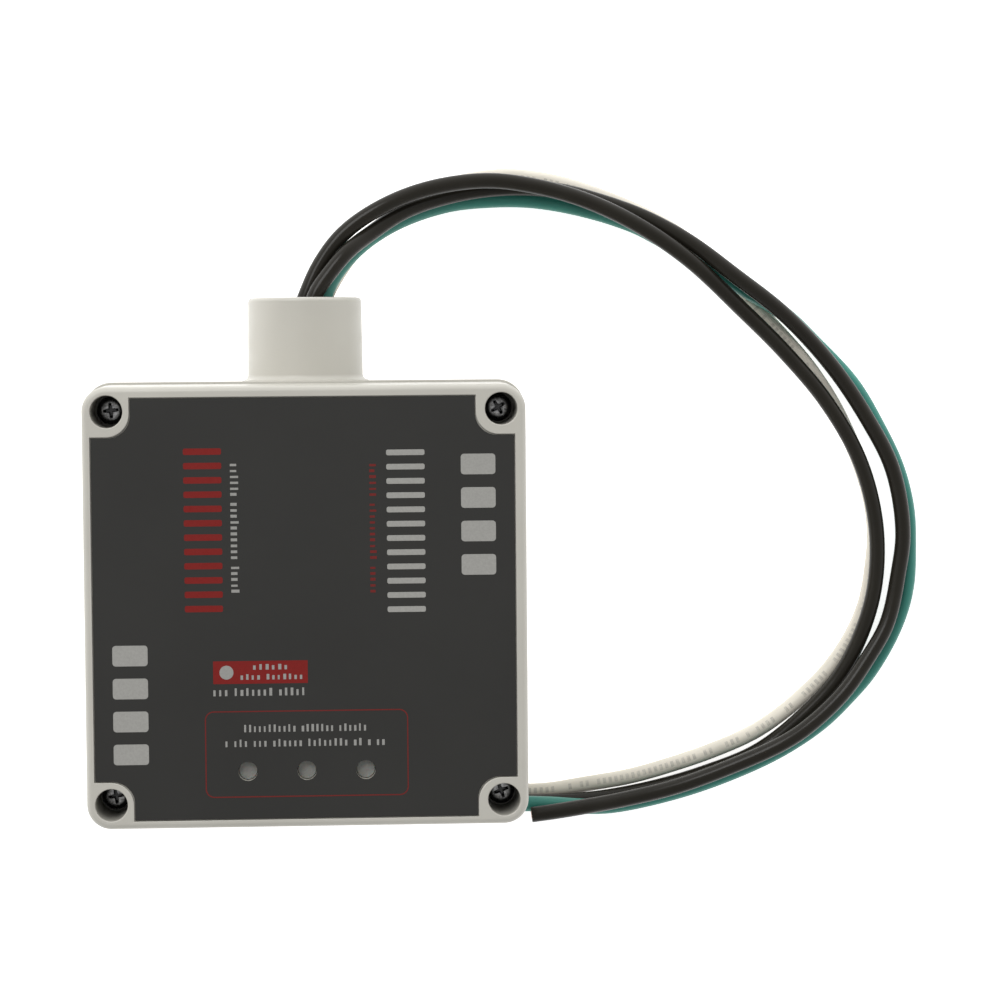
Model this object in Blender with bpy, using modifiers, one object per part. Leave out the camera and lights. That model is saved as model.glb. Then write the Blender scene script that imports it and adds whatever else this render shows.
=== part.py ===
"""Whole house surge protector: a flat plastic enclosure with a conduit hub and four loose leads.

Metres, +Z up. The enclosure lies on its back: the back face is at z = 0, the labelled cover faces +Z
and the conduit hub points along +Y. The origin is under the middle of the enclosure and hub together.
"""
import math

import bmesh
import bpy
from mathutils import Matrix, Vector

MM = 0.001

# Enclosure, all in metres
COVER_SIDE = 0.120            # square front cover
RIM_LEDGE = 0.001             # how far the base rim stands out beyond the cover
DEPTH = 0.060                 # back face to front face
BASE_HEIGHT = 0.0368          # back face to base rim
SEAM = 0.0003                 # gap left between pieces that touch
CORNER_RADIUS = 0.0067        # cover corners, concentric with the screw wells
COVER_WALL = 0.003
BASE_WALL = 0.004
FLOOR = 0.003                 # base floor and cover face thickness
COVER_DRAFT = 0.0003          # widening of each cover side towards the seam
BASE_DRAFT = 0.0006           # narrowing of each base side towards the back
EDGE_ROUND = 0.0015           # front edge of the cover
CORNER_SEGMENTS = 7

# Conduit hub, on the +Y wall of the base
HUB_RADIUS = 0.016
HUB_BORE_RADIUS = 0.0106
HUB_LENGTH = 0.0232           # beyond the base wall
HUB_HEIGHT = 0.0185           # axis above the back face
HUB_FLARE = 0.0015            # fillet between hub and wall
SEAL_OUTER = 0.0052           # outer face of the seal plug, beyond the base wall
SEAL_LENGTH = 0.0092

# Frame: the enclosure's middle sits off the origin so that the whole body is centred
CENTRE_Y = -HUB_LENGTH / 2
BASE_HALF = COVER_SIDE / 2 + RIM_LEDGE
COVER_HALF = COVER_SIDE / 2
COVER_BOTTOM = BASE_HEIGHT + SEAM

# Screw wells and cover fixings
WELL_RADIUS = 0.0044
WELL_WALL = 0.002
WELL_PITCH = COVER_HALF - CORNER_RADIUS
SCREW_DEPTH = 0.0178          # screw head top below the front face
SCREW_HEAD_HEIGHT = 0.0024
SCREW_HEAD_RADIUS = 0.0038
SCREW_SHANK_RADIUS = 0.0019
SCREW_LENGTH = 0.0115
SCREW_HOLE_RADIUS = 0.0023
POST_RADIUS = 0.0053
INSERT_RADIUS = 0.0027
INSERT_BORE_RADIUS = 0.0023
INSERT_LENGTH = 0.009
INSERT_HOLE_RADIUS = INSERT_RADIUS + SEAM
RECESS_WIDTH = 0.0011         # one arm of the cross recess
RECESS_SPAN = 0.0046
RECESS_DEPTH = 0.0016

# Front label in its shallow recess
LABEL_HALF = 0.05715
LABEL_SHIFT = (-0.0004, -0.0004)
LABEL_NOTCH = 0.01065         # square bite at each corner, clear of the wells
LABEL_NOTCH_RADIUS = 0.0062
LABEL_THICKNESS = 0.0004
LABEL_RECESS = 0.0009
ARC_SEGMENTS = 6

# Gasket groove in the base rim
GROOVE_OUTER_INSET = 0.0011
GROOVE_WIDTH = 0.0018
GROOVE_DEPTH = 0.0016

# Status lights
LED_PITCH = 0.016
LED_X = -0.0003
LED_Y = -0.0446               # from the enclosure's middle
LED_HOLE_RADIUS = 0.00263
LED_RADIUS = 0.0025
LED_FLANGE_RADIUS = 0.0029
LED_TIP = DEPTH - 0.0027
LED_BODY = 0.0075
LED_EDGE = 0.0004             # rounding of the flat lens
SPACER_RADIUS = 0.0027

# Circuit board and what stands on it
BOARD_HALF_X = 0.046
BOARD_HALF_Y = 0.0485
BOARD_BOTTOM = 0.024
BOARD_THICKNESS = 0.0016
BOARD_TOP = BOARD_BOTTOM + BOARD_THICKNESS
BOARD_HOLE_X = 0.040
BOARD_HOLE_Y = 0.034
STANDOFF_RADIUS = 0.0038
BOARD_SCREW_RADIUS = 0.0012
BOARD_SCREW_HOLE = 0.0016
BOARD_SCREW_LENGTH = 0.008
PART_Z = BOARD_TOP + SEAM

VARISTOR_RADIUS = 0.0105
VARISTOR_THICKNESS = 0.0055
VARISTOR_PITCH = 0.0125
VARISTOR_Y = 0.004
FUSE_RADIUS = 0.0026
FUSE_LENGTH = 0.013
CAPACITOR_SIZE = (0.018, 0.0085, 0.014)
TERMINAL_RADIUS = 0.0036
TERMINAL_BORE = 0.0025
TERMINAL_HEIGHT = 0.0055
TERMINAL_PITCH = 0.014
TERMINAL_Y = 0.036
LEAD_PASSAGE = 0.0027         # holes in the board under the terminals

# Leads
LEAD_RADIUS = 0.00225
INNER_LEAD_RADIUS = 0.0021
LEAD_STEP = 0.0098            # spacing of the tube's points
CURVE_SAMPLES = 24            # fine samples between two route points

# Routes of the loose leads in millimetres, measured from the middle of the enclosure's back face.
# Each runs out of the hub, down to the surface, round one wide loop and back to the right-hand side.
LEAD_ROUTES = {
    "wire_black_1": [
        (-4.4, 66.8, 19.3), (-3.2, 75, 19.6), (0.1, 84.2, 19.6), (4.4, 93.5, 19), (10.9, 102, 18.7),
        (21.1, 109.2, 18.4), (34.7, 114.7, 16.3), (51.5, 117.2, 13.4), (65, 115.8, 12.3), (80, 111.6, 12.8),
        (94.6, 104.7, 13.4), (109.7, 94.5, 13.1), (125.8, 79.8, 9.8), (137.9, 67.9, 8), (150.3, 53.2, 7.3),
        (159.8, 36.4, 7.3), (164.4, 19, 7.3), (164.6, 2.5, 7.3), (161.5, -11, 7.2), (154.4, -26, 6.2),
        (144, -37.8, 5.1), (130.4, -48.6, 3.2), (114.5, -55, 2.5), (98.9, -59.2, 2.8), (82.9, -61.6, 4.7),
        (68, -62.1, 6.2), (61.2, -62.1, 6.3)],
    "wire_black_2": [
        (0.8, 66.8, 22.9), (1, 75, 23.4), (2.9, 84.6, 23.6), (7.4, 91.4, 22.6), (12.2, 97, 21),
        (18, 101.7, 17.4), (29, 108.8, 13.4), (43.9, 113.6, 8.6), (58.5, 115.4, 7), (72.4, 114.6, 7.3),
        (85.4, 111.2, 8.2), (98, 106.4, 9.4), (110.1, 99.6, 11), (123.2, 89.7, 12.6), (137.6, 78.6, 10.2),
        (151.5, 64, 7.5), (161.8, 48.8, 7.3), (169.5, 33.5, 7.3), (172.5, 15.5, 7.3), (171.1, 3.4, 7.5),
        (167.6, -11.1, 8.6), (161.7, -21.1, 10), (154.2, -31.2, 11.2), (144.1, -40.2, 12.8),
        (136.1, -45.2, 13.6), (120.5, -52.1, 12.6), (105, -57.5, 12.3), (89, -61, 12.8), (79, -62.4, 14.6),
        (70, -63.6, 15.5), (63.3, -64.4, 15.6)],
    "wire_green": [
        (4.4, 66.8, 17.7), (4.3, 75.3, 18.3), (5.5, 84.3, 18.4), (8.8, 90.9, 16.6), (15.6, 98.6, 13.1),
        (26.2, 105.6, 8.8), (40.6, 110.7, 4), (52, 112.1, 2.5), (65.5, 112, 2.4), (80.4, 109.3, 3.4),
        (95, 104.5, 4.8), (102.5, 100.5, 5.7), (111, 95.5, 6.9), (119, 91, 7.4), (126.5, 86, 7.5),
        (138, 79, 5), (147.6, 70.1, 2.9), (158.5, 58.4, 2.4), (165.8, 46.1, 2.4), (171.5, 34, 2.4),
        (174.5, 22, 2.4), (175, 11, 2.4), (174.3, -1.6, 2.4), (170.9, -12.7, 2.4), (163.5, -25.5, 2.9),
        (156.3, -33.2, 4.8), (147.9, -40.3, 7.6), (135.7, -47.8, 9), (120.1, -54.9, 7.8),
        (104.6, -59.9, 7.4), (87.5, -63.1, 8.6), (79, -63.1, 9.7), (69.5, -62.2, 10.9), (61.2, -61.8, 11.1)],
    "wire_white": [
        (1.2, 66.8, 13.6), (2.7, 75.3, 13.6), (5.8, 84.4, 13.6), (9.7, 91.5, 11.3), (14.7, 98.2, 8.2),
        (21.3, 104.4, 5.2), (28.6, 110, 3.1), (37, 114.8, 2.4), (46.8, 117.7, 2.4), (58.5, 119, 2.4),
        (72.6, 117.1, 2.4), (86.6, 112.6, 2.4), (99.9, 106.7, 2.4), (108.4, 101.7, 2.4), (117, 95, 2.4),
        (124.5, 87.5, 2.4), (131.5, 79.5, 2.4), (138.7, 71.7, 2.4), (145.4, 63.8, 2.4), (152.4, 53.3, 2.4),
        (157.7, 42.6, 2.4), (161.5, 33, 2.4), (164, 24, 2.4), (165, 15, 2.4), (164.4, 6, 2.4),
        (162.3, -5.6, 2.4), (158, -15.5, 2.4), (151.8, -24.5, 2.4), (146, -30.5, 2.4), (138.5, -37, 2.4),
        (129.5, -43, 2.4), (118, -48, 2.4), (106, -52, 2.4), (93, -55.5, 2.4), (79.5, -57.7, 2.4),
        (69.5, -59.2, 2.4), (61.2, -59.6, 2.4)],
}
# The same leads inside the enclosure, from the seal plug to their terminals on the board.
INNER_ROUTES = {
    "inner_lead_black_1": [
        (-4.4, 56.4, 19.3), (-4.5, 54.4, 19.2), (-8.5, 47, 15.5), (-14, 41.5, 13), (-19, 38, 14.5),
        (-20.8, 36.3, 19), (-21, 36, 24), (-21, 36, 30)],
    "inner_lead_black_2": [
        (0.8, 56.4, 22.9), (0.85, 54.4, 22.8), (2.5, 47.5, 18.5), (4.5, 42, 14), (6.4, 38, 14.5),
        (6.9, 36.3, 19), (7, 36, 24), (7, 36, 30)],
    "inner_lead_white": [
        (1.2, 56.4, 13.6), (1.1, 54.4, 13.5), (-3, 47.5, 11.6), (-5, 42, 10.6), (-6.6, 37.8, 12.8),
        (-7, 36.2, 18), (-7, 36, 24), (-7, 36, 30)],
    "inner_lead_green": [
        (4.4, 56.4, 17.7), (4.5, 54.4, 17.6), (9, 47, 14.5), (14.5, 41.5, 12.5), (19.2, 38, 14.5),
        (20.8, 36.3, 19), (21, 36, 24), (21, 36, 30)],
}

# Base colour, roughness and metallic value of each material
FINISHES = {
    "enclosure_plastic": ((0.53, 0.51, 0.46, 1), 0.42, 0.0),
    "label_film": ((0.035, 0.035, 0.033, 1), 0.5, 0.0),
    "gasket_rubber": ((0.03, 0.03, 0.03, 1), 0.8, 0.0),
    "screw_steel": ((0.22, 0.22, 0.23, 1), 0.3, 1.0),
    "insert_brass": ((0.65, 0.46, 0.2, 1), 0.35, 1.0),
    "board_laminate": ((0.02, 0.12, 0.05, 1), 0.5, 0.0),
    "varistor_epoxy": ((0.02, 0.08, 0.3, 1), 0.4, 0.0),
    "fuse_body": ((0.6, 0.58, 0.5, 1), 0.4, 0.0),
    "capacitor_case": ((0.55, 0.4, 0.05, 1), 0.4, 0.0),
    "resistor_body": ((0.4, 0.28, 0.16, 1), 0.6, 0.0),
    "diode_body": ((0.03, 0.03, 0.03, 1), 0.4, 0.0),
    "led_lens": ((0.42, 0.42, 0.4, 1), 0.35, 0.0),
    "spacer_nylon": ((0.6, 0.6, 0.56, 1), 0.5, 0.0),
    "seal_compound": ((0.05, 0.05, 0.05, 1), 0.6, 0.0),
    "lead_black": ((0.025, 0.024, 0.022, 1), 0.45, 0.0),
    "lead_green": ((0.04, 0.2, 0.15, 1), 0.45, 0.0),
    "lead_white": ((0.66, 0.63, 0.56, 1), 0.45, 0.0),
}

CORNERS = [(-1, 1), (1, 1), (-1, -1), (1, -1)]


def clear_scene():
    for item in list(bpy.data.objects):
        bpy.data.objects.remove(item, do_unlink=True)


def new_collection(name):
    collection = bpy.data.collections.new(name)
    bpy.context.scene.collection.children.link(collection)
    return collection


def make_material(name):
    colour, roughness, metallic = FINISHES[name]
    material = bpy.data.materials.new(name)
    material.use_nodes = True
    shader = material.node_tree.nodes["Principled BSDF"]
    shader.inputs["Base Color"].default_value = colour
    shader.inputs["Roughness"].default_value = roughness
    shader.inputs["Metallic"].default_value = metallic
    return material


def finish_piece(name, data, finish, location=(0, 0, 0), rotation=(0, 0, 0)):
    """Put mesh or curve data into the scene as a named piece."""
    piece = bpy.data.objects.new(name, data)
    piece.location = location
    piece.rotation_euler = rotation
    data.materials.append(MATERIALS[finish])
    PARTS.objects.link(piece)
    if isinstance(data, bpy.types.Mesh):
        data.shade_smooth()
        data.set_sharp_from_angle(angle=math.radians(35))
    return piece


def finish_cutter(name, data, location=(0, 0, 0), rotation=(0, 0, 0)):
    """Put mesh data into the scene as the hidden operand of a Boolean."""
    cutter = bpy.data.objects.new(name, data)
    cutter.location = location
    cutter.rotation_euler = rotation
    cutter.hide_render = True
    cutter.display_type = "WIRE"
    CUTTERS.objects.link(cutter)
    return cutter


def combine(piece, operand, operation):
    modifier = piece.modifiers.new(operand.name, "BOOLEAN")
    modifier.operation = operation
    modifier.object = operand


def mesh_from(bm, name):
    data = bpy.data.meshes.new(name)
    bm.to_mesh(data)
    bm.free()
    return data


def rounded_block(name, half_x, half_y, low, high, radius, low_extra=0.0, top_round=0.0,
                  segments=CORNER_SEGMENTS):
    """Block between two heights with rounded upright edges; low_extra widens its bottom outline."""
    bm = bmesh.new()
    bmesh.ops.create_cube(bm, size=1)
    size = (2 * half_x, 2 * half_y, high - low)
    bmesh.ops.scale(bm, vec=size, verts=bm.verts)
    bmesh.ops.translate(bm, vec=(0, 0, (low + high) / 2), verts=bm.verts)
    upright = [e for e in bm.edges if abs(e.verts[0].co.z - e.verts[1].co.z) > 1e-6]
    bmesh.ops.bevel(bm, geom=upright, offset=radius, segments=segments, profile=0.5, affect="EDGES")
    middle = (low + high) / 2
    for vert in bm.verts:
        if vert.co.z < middle:
            vert.co.x *= (half_x + low_extra) / half_x
            vert.co.y *= (half_y + low_extra) / half_y
    if top_round:
        rim = [e for e in bm.edges if min(v.co.z for v in e.verts) > high - 1e-6]
        bmesh.ops.bevel(bm, geom=rim, offset=top_round, segments=2, profile=0.5, affect="EDGES")
    return mesh_from(bm, name)


def box(name, size, centre):
    bm = bmesh.new()
    bmesh.ops.create_cube(bm, size=1)
    bmesh.ops.scale(bm, vec=size, verts=bm.verts)
    bmesh.ops.translate(bm, vec=centre, verts=bm.verts)
    return mesh_from(bm, name)


def cylinder(name, radius, low, high, segments=24, top_radius=None, edge_round=0.0):
    """Upright cylinder or cone between two heights on the Z axis."""
    bm = bmesh.new()
    upper = radius if top_radius is None else top_radius
    bmesh.ops.create_cone(bm, cap_ends=True, segments=segments, radius1=radius, radius2=upper,
                          depth=high - low)
    bmesh.ops.translate(bm, vec=(0, 0, (low + high) / 2), verts=bm.verts)
    if edge_round:
        rims = [e for e in bm.edges if abs(e.verts[0].co.z - e.verts[1].co.z) < 1e-7]
        bmesh.ops.bevel(bm, geom=rims, offset=edge_round, segments=1, profile=0.5, affect="EDGES")
    return mesh_from(bm, name)


def turned(name, profile, finish, location, steps=16):
    """Piece turned about its own Z axis from (radius, height) points, top to bottom."""
    bm = bmesh.new()
    verts = [bm.verts.new((radius, 0, height)) for radius, height in profile]
    for upper, lower in zip(verts, verts[1:]):
        bm.edges.new((upper, lower))
    piece = finish_piece(name, mesh_from(bm, name), finish, location)
    screw = piece.modifiers.new("turn", "SCREW")
    screw.steps = steps
    screw.render_steps = steps
    screw.use_merge_vertices = True
    screw.merge_threshold = 0.00001
    screw.use_smooth_shade = True
    return piece


def smooth_route(points, step):
    """Points about one step apart on a centripetal Catmull-Rom curve through the given points."""
    knots = [Vector(point) for point in points]
    knots = [2 * knots[0] - knots[1]] + knots + [2 * knots[-1] - knots[-2]]
    fine = []
    for p0, p1, p2, p3 in zip(knots, knots[1:], knots[2:], knots[3:]):
        t1 = math.sqrt((p1 - p0).length)
        t2 = t1 + math.sqrt((p2 - p1).length)
        t3 = t2 + math.sqrt((p3 - p2).length)
        for index in range(CURVE_SAMPLES):
            t = t1 + (t2 - t1) * index / CURVE_SAMPLES
            a1 = p0.lerp(p1, t / t1)
            a2 = p1.lerp(p2, (t - t1) / (t2 - t1))
            a3 = p2.lerp(p3, (t - t2) / (t3 - t2))
            b1 = a1.lerp(a2, t / t2)
            b2 = a2.lerp(a3, (t - t1) / (t3 - t1))
            fine.append(b1.lerp(b2, (t - t1) / (t2 - t1)))
    fine.append(knots[-2])
    length = sum((b - a).length for a, b in zip(fine, fine[1:]))
    spacing = length / max(1, round(length / step))
    route = [fine[0]]
    travelled = 0.0
    for a, b in zip(fine, fine[1:]):
        travelled += (b - a).length
        if travelled >= spacing * len(route) - 1e-9:
            route.append(b)
    route[-1] = fine[-1]
    return route


def tube(name, route_mm, radius, step, finish):
    """Round lead along a route given in millimetres from the middle of the back face."""
    route = smooth_route([(x * MM, y * MM + CENTRE_Y, z * MM) for x, y, z in route_mm], step)
    curve = bpy.data.curves.new(name, "CURVE")
    curve.dimensions = "3D"
    curve.bevel_depth = radius
    curve.bevel_resolution = 2
    curve.use_fill_caps = True
    spline = curve.splines.new("POLY")
    spline.points.add(len(route) - 1)
    for point, place in zip(spline.points, route):
        point.co = (*place, 1)
    finish_piece(name, curve, finish)


def label_outline():
    """Label outline about its own middle: a square whose corners are bitten out round the wells."""
    inner = LABEL_HALF - LABEL_NOTCH
    points = []
    for quarter in range(4):
        turn = Matrix.Rotation(quarter * math.pi / 2, 2)
        corner = [(LABEL_HALF, inner)]
        centre = inner + LABEL_NOTCH_RADIUS
        for index in range(ARC_SEGMENTS + 1):
            angle = math.pi * 1.5 - math.pi / 2 * index / ARC_SEGMENTS
            corner.append((centre + LABEL_NOTCH_RADIUS * math.cos(angle),
                           centre + LABEL_NOTCH_RADIUS * math.sin(angle)))
        corner.append((inner, LABEL_HALF))
        points += [turn @ Vector(point) for point in corner]
    return points


def led_places():
    return [(LED_X + step * LED_PITCH, LED_Y) for step in (-1, 0, 1)]


def prism(name, outline, low, high):
    """Solid between two heights on one closed outline."""
    bm = bmesh.new()
    face = bm.faces.new([bm.verts.new((x, y, low)) for x, y in outline])
    raised = bmesh.ops.extrude_face_region(bm, geom=[face])["geom"]
    verts = [item for item in raised if isinstance(item, bmesh.types.BMVert)]
    bmesh.ops.translate(bm, vec=(0, 0, high - low), verts=verts)
    bmesh.ops.recalc_face_normals(bm, faces=bm.faces)
    return mesh_from(bm, name)


def flat_outline(name, loops, thickness):
    """Flat sheet from a 2D curve; the first loop is its edge and the others are holes."""
    curve = bpy.data.curves.new(name, "CURVE")
    curve.dimensions = "2D"
    curve.fill_mode = "BOTH"
    curve.extrude = thickness / 2
    for loop in loops:
        spline = curve.splines.new("POLY")
        spline.points.add(len(loop) - 1)
        spline.use_cyclic_u = True
        for point, place in zip(spline.points, loop):
            point.co = (place[0], place[1], 0, 1)
    return curve


def circle(x, y, radius, steps=20):
    turns = [2 * math.pi * index / steps for index in range(steps)]
    return [(x + radius * math.cos(turn), y + radius * math.sin(turn)) for turn in turns]


def curve_to_mesh(curve, name):
    """Closed mesh of a curve, so that it can be a Boolean operand."""
    guide = bpy.data.objects.new(name, curve)
    CUTTERS.objects.link(guide)
    graph = bpy.context.evaluated_depsgraph_get()
    data = bpy.data.meshes.new_from_object(guide.evaluated_get(graph))
    bpy.data.objects.remove(guide)
    bm = bmesh.new()
    bm.from_mesh(data)
    bmesh.ops.remove_doubles(bm, verts=bm.verts, dist=1e-7)
    bm.to_mesh(data)
    bm.free()
    return data


def build_base():
    outer = rounded_block("base", BASE_HALF, BASE_HALF, 0, BASE_HEIGHT, CORNER_RADIUS + RIM_LEDGE,
                          low_extra=-BASE_DRAFT)
    base = finish_piece("enclosure_base", outer, "enclosure_plastic", (0, CENTRE_Y, 0))
    along_y = (-math.pi / 2, 0, 0)
    hub_axis = (0, CENTRE_Y, HUB_HEIGHT)
    hub = cylinder("hub", HUB_RADIUS, BASE_HALF - BASE_WALL / 2, BASE_HALF + HUB_LENGTH, 48)
    combine(base, finish_cutter("hub_body", hub, hub_axis, along_y), "UNION")
    flare = cylinder("flare", HUB_RADIUS + HUB_FLARE, BASE_HALF - BASE_WALL / 2,
                     BASE_HALF + HUB_FLARE, 48, top_radius=HUB_RADIUS)
    combine(base, finish_cutter("hub_flare", flare, hub_axis, along_y), "UNION")
    inner_half = BASE_HALF - BASE_WALL
    cavity = rounded_block("cavity", inner_half, inner_half, FLOOR, BASE_HEIGHT + FLOOR,
                           CORNER_RADIUS + RIM_LEDGE - BASE_WALL, low_extra=-BASE_DRAFT)
    combine(base, finish_cutter("base_cavity", cavity, (0, CENTRE_Y, 0)), "DIFFERENCE")
    post_top = BASE_HEIGHT - SEAM
    for number, (sx, sy) in enumerate(CORNERS, 1):
        place = (sx * WELL_PITCH, CENTRE_Y + sy * WELL_PITCH, 0)
        post = cylinder("post", POST_RADIUS, FLOOR / 2, post_top, 24)
        combine(base, finish_cutter(f"corner_post_{number}", post, place), "UNION")
        place = (sx * BOARD_HOLE_X, CENTRE_Y + sy * BOARD_HOLE_Y, 0)
        standoff = cylinder("standoff", STANDOFF_RADIUS, FLOOR / 2, BOARD_BOTTOM - SEAM, 16)
        combine(base, finish_cutter(f"standoff_{number}", standoff, place), "UNION")
    bore = cylinder("bore", HUB_BORE_RADIUS, BASE_HALF - 2 * BASE_WALL,
                    BASE_HALF + HUB_LENGTH + FLOOR, 48)
    combine(base, finish_cutter("hub_bore", bore, hub_axis, along_y), "DIFFERENCE")
    for number, (sx, sy) in enumerate(CORNERS, 1):
        place = (sx * WELL_PITCH, CENTRE_Y + sy * WELL_PITCH, 0)
        hole = cylinder("hole", INSERT_HOLE_RADIUS, post_top - INSERT_LENGTH - 0.004,
                        BASE_HEIGHT + FLOOR, 16)
        combine(base, finish_cutter(f"insert_hole_{number}", hole, place), "DIFFERENCE")
        place = (sx * BOARD_HOLE_X, CENTRE_Y + sy * BOARD_HOLE_Y, 0)
        pilot = cylinder("pilot", BOARD_SCREW_HOLE, BOARD_BOTTOM - BOARD_SCREW_LENGTH,
                         BOARD_BOTTOM + FLOOR, 12)
        combine(base, finish_cutter(f"pilot_hole_{number}", pilot, place), "DIFFERENCE")
    groove = gasket_ring("groove", 0.0, BASE_HEIGHT - GROOVE_DEPTH, BASE_HEIGHT + FLOOR)
    combine(base, finish_cutter("gasket_groove", groove, (0, CENTRE_Y, 0)), "DIFFERENCE")


def gasket_ring(name, clearance, low, high):
    """Square ring that follows the base rim, made as a mesh from one flat outline and its hole."""
    rings = []
    for inset in (GROOVE_OUTER_INSET + clearance, GROOVE_OUTER_INSET + GROOVE_WIDTH - clearance):
        half = BASE_HALF - inset
        radius = CORNER_RADIUS + RIM_LEDGE - inset
        loop = []
        for quarter in range(4):
            for index in range(CORNER_SEGMENTS + 1):
                angle = math.pi / 2 * (quarter + index / CORNER_SEGMENTS)
                centre = Vector((half - radius, half - radius))
                centre.rotate(Matrix.Rotation(quarter * math.pi / 2, 2))
                loop.append(centre + radius * Vector((math.cos(angle), math.sin(angle))))
        rings.append(loop)
    curve = flat_outline(name, rings, high - low)
    data = curve_to_mesh(curve, name)
    data.transform(Matrix.Translation((0, 0, (low + high) / 2)))
    return data


def build_gasket():
    ring = gasket_ring("cover_gasket", SEAM, BASE_HEIGHT - GROOVE_DEPTH + SEAM, BASE_HEIGHT)
    finish_piece("cover_gasket", ring, "gasket_rubber", (0, CENTRE_Y, 0))


def build_cover():
    outer = rounded_block("cover", COVER_HALF, COVER_HALF, COVER_BOTTOM, DEPTH, CORNER_RADIUS,
                          low_extra=COVER_DRAFT, top_round=EDGE_ROUND)
    cover = finish_piece("front_cover", outer, "enclosure_plastic", (0, CENTRE_Y, 0))
    inner_half = COVER_HALF - COVER_WALL
    cavity = rounded_block("cavity", inner_half, inner_half, COVER_BOTTOM - FLOOR, DEPTH - FLOOR,
                           CORNER_RADIUS - COVER_WALL)
    combine(cover, finish_cutter("cover_cavity", cavity, (0, CENTRE_Y, 0)), "DIFFERENCE")
    well_floor = DEPTH - SCREW_DEPTH - SCREW_HEAD_HEIGHT - SEAM
    for number, (sx, sy) in enumerate(CORNERS, 1):
        place = (sx * WELL_PITCH, CENTRE_Y + sy * WELL_PITCH, 0)
        column = cylinder("column", WELL_RADIUS + WELL_WALL, COVER_BOTTOM, DEPTH - FLOOR / 2, 32)
        combine(cover, finish_cutter(f"well_column_{number}", column, place), "UNION")
    for number, (sx, sy) in enumerate(CORNERS, 1):
        place = (sx * WELL_PITCH, CENTRE_Y + sy * WELL_PITCH, 0)
        well = cylinder("well", WELL_RADIUS, well_floor, DEPTH + FLOOR, 32)
        combine(cover, finish_cutter(f"screw_well_{number}", well, place), "DIFFERENCE")
        hole = cylinder("hole", SCREW_HOLE_RADIUS, COVER_BOTTOM - FLOOR, well_floor + FLOOR, 16)
        combine(cover, finish_cutter(f"screw_hole_{number}", hole, place), "DIFFERENCE")
    growth = 1 + SEAM / LABEL_HALF
    recess = prism("recess", [growth * point for point in label_outline()], DEPTH - LABEL_RECESS,
                   DEPTH + FLOOR)
    recess_place = (LABEL_SHIFT[0], CENTRE_Y + LABEL_SHIFT[1], 0)
    combine(cover, finish_cutter("label_recess", recess, recess_place), "DIFFERENCE")
    for number, (x, y) in enumerate(led_places(), 1):
        hole = cylinder("hole", LED_HOLE_RADIUS, DEPTH - 2 * FLOOR, DEPTH + FLOOR, 24)
        combine(cover, finish_cutter(f"led_hole_{number}", hole, (x, CENTRE_Y + y, 0)), "DIFFERENCE")


def build_label():
    holes = [circle(x - LABEL_SHIFT[0], y - LABEL_SHIFT[1], LED_HOLE_RADIUS) for x, y in led_places()]
    sheet = flat_outline("front_label", [label_outline()] + holes, LABEL_THICKNESS)
    middle = DEPTH - LABEL_RECESS + SEAM + LABEL_THICKNESS / 2
    data = curve_to_mesh(sheet, "front_label")
    finish_piece("front_label", data, "label_film",
                 (LABEL_SHIFT[0], CENTRE_Y + LABEL_SHIFT[1], middle))


def screw_profile(head_radius, head_height, shank_radius, length):
    """Pan head screw, head top at height zero."""
    return [(0, 0), (head_radius * 0.62, -head_height * 0.05), (head_radius * 0.9, -head_height * 0.3),
            (head_radius, -head_height * 0.62), (head_radius, -head_height),
            (shank_radius, -head_height), (shank_radius, -head_height - length + shank_radius),
            (shank_radius * 0.4, -head_height - length), (0, -head_height - length)]


def cut_cross_recess(screw, span, width, depth):
    for number, turn in enumerate((0, math.pi / 2), 1):
        arm = box("arm", (span, width, 2 * depth), (0, 0, 0))
        name = f"{screw.name}_recess_{number}"
        cutter = finish_cutter(name, arm, screw.location, (0, 0, turn))
        combine(screw, cutter, "DIFFERENCE")


def build_cover_screws():
    for number, (sx, sy) in enumerate(CORNERS, 1):
        place = (sx * WELL_PITCH, CENTRE_Y + sy * WELL_PITCH, DEPTH - SCREW_DEPTH)
        profile = screw_profile(SCREW_HEAD_RADIUS, SCREW_HEAD_HEIGHT, SCREW_SHANK_RADIUS, SCREW_LENGTH)
        screw = turned(f"cover_screw_{number}", profile, "screw_steel", place)
        cut_cross_recess(screw, RECESS_SPAN, RECESS_WIDTH, RECESS_DEPTH)


def ring_profile(outer, inner, low, high):
    return [(inner, high), (outer, high), (outer, low), (inner, low), (inner, high)]


def build_inserts():
    top = BASE_HEIGHT - 2 * SEAM
    for number, (sx, sy) in enumerate(CORNERS, 1):
        place = (sx * WELL_PITCH, CENTRE_Y + sy * WELL_PITCH, top)
        profile = ring_profile(INSERT_RADIUS, INSERT_BORE_RADIUS, -INSERT_LENGTH, 0)
        turned(f"threaded_insert_{number}", profile, "insert_brass", place)


def build_board():
    slab = rounded_block("board", BOARD_HALF_X, BOARD_HALF_Y, BOARD_BOTTOM, BOARD_TOP, 0.002,
                         segments=2)
    board = finish_piece("circuit_board", slab, "board_laminate", (0, CENTRE_Y, 0))
    for number, (sx, sy) in enumerate(CORNERS, 1):
        place = (sx * BOARD_HOLE_X, CENTRE_Y + sy * BOARD_HOLE_Y, 0)
        hole = cylinder("hole", BOARD_SCREW_HOLE, BOARD_BOTTOM - FLOOR, BOARD_TOP + FLOOR, 12)
        combine(board, finish_cutter(f"board_hole_{number}", hole, place), "DIFFERENCE")
    for number, x in enumerate(terminal_places(), 1):
        hole = cylinder("hole", LEAD_PASSAGE, BOARD_BOTTOM - FLOOR, BOARD_TOP + FLOOR, 16)
        cutter = finish_cutter(f"lead_hole_{number}", hole, (x, CENTRE_Y + TERMINAL_Y, 0))
        combine(board, cutter, "DIFFERENCE")


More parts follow.
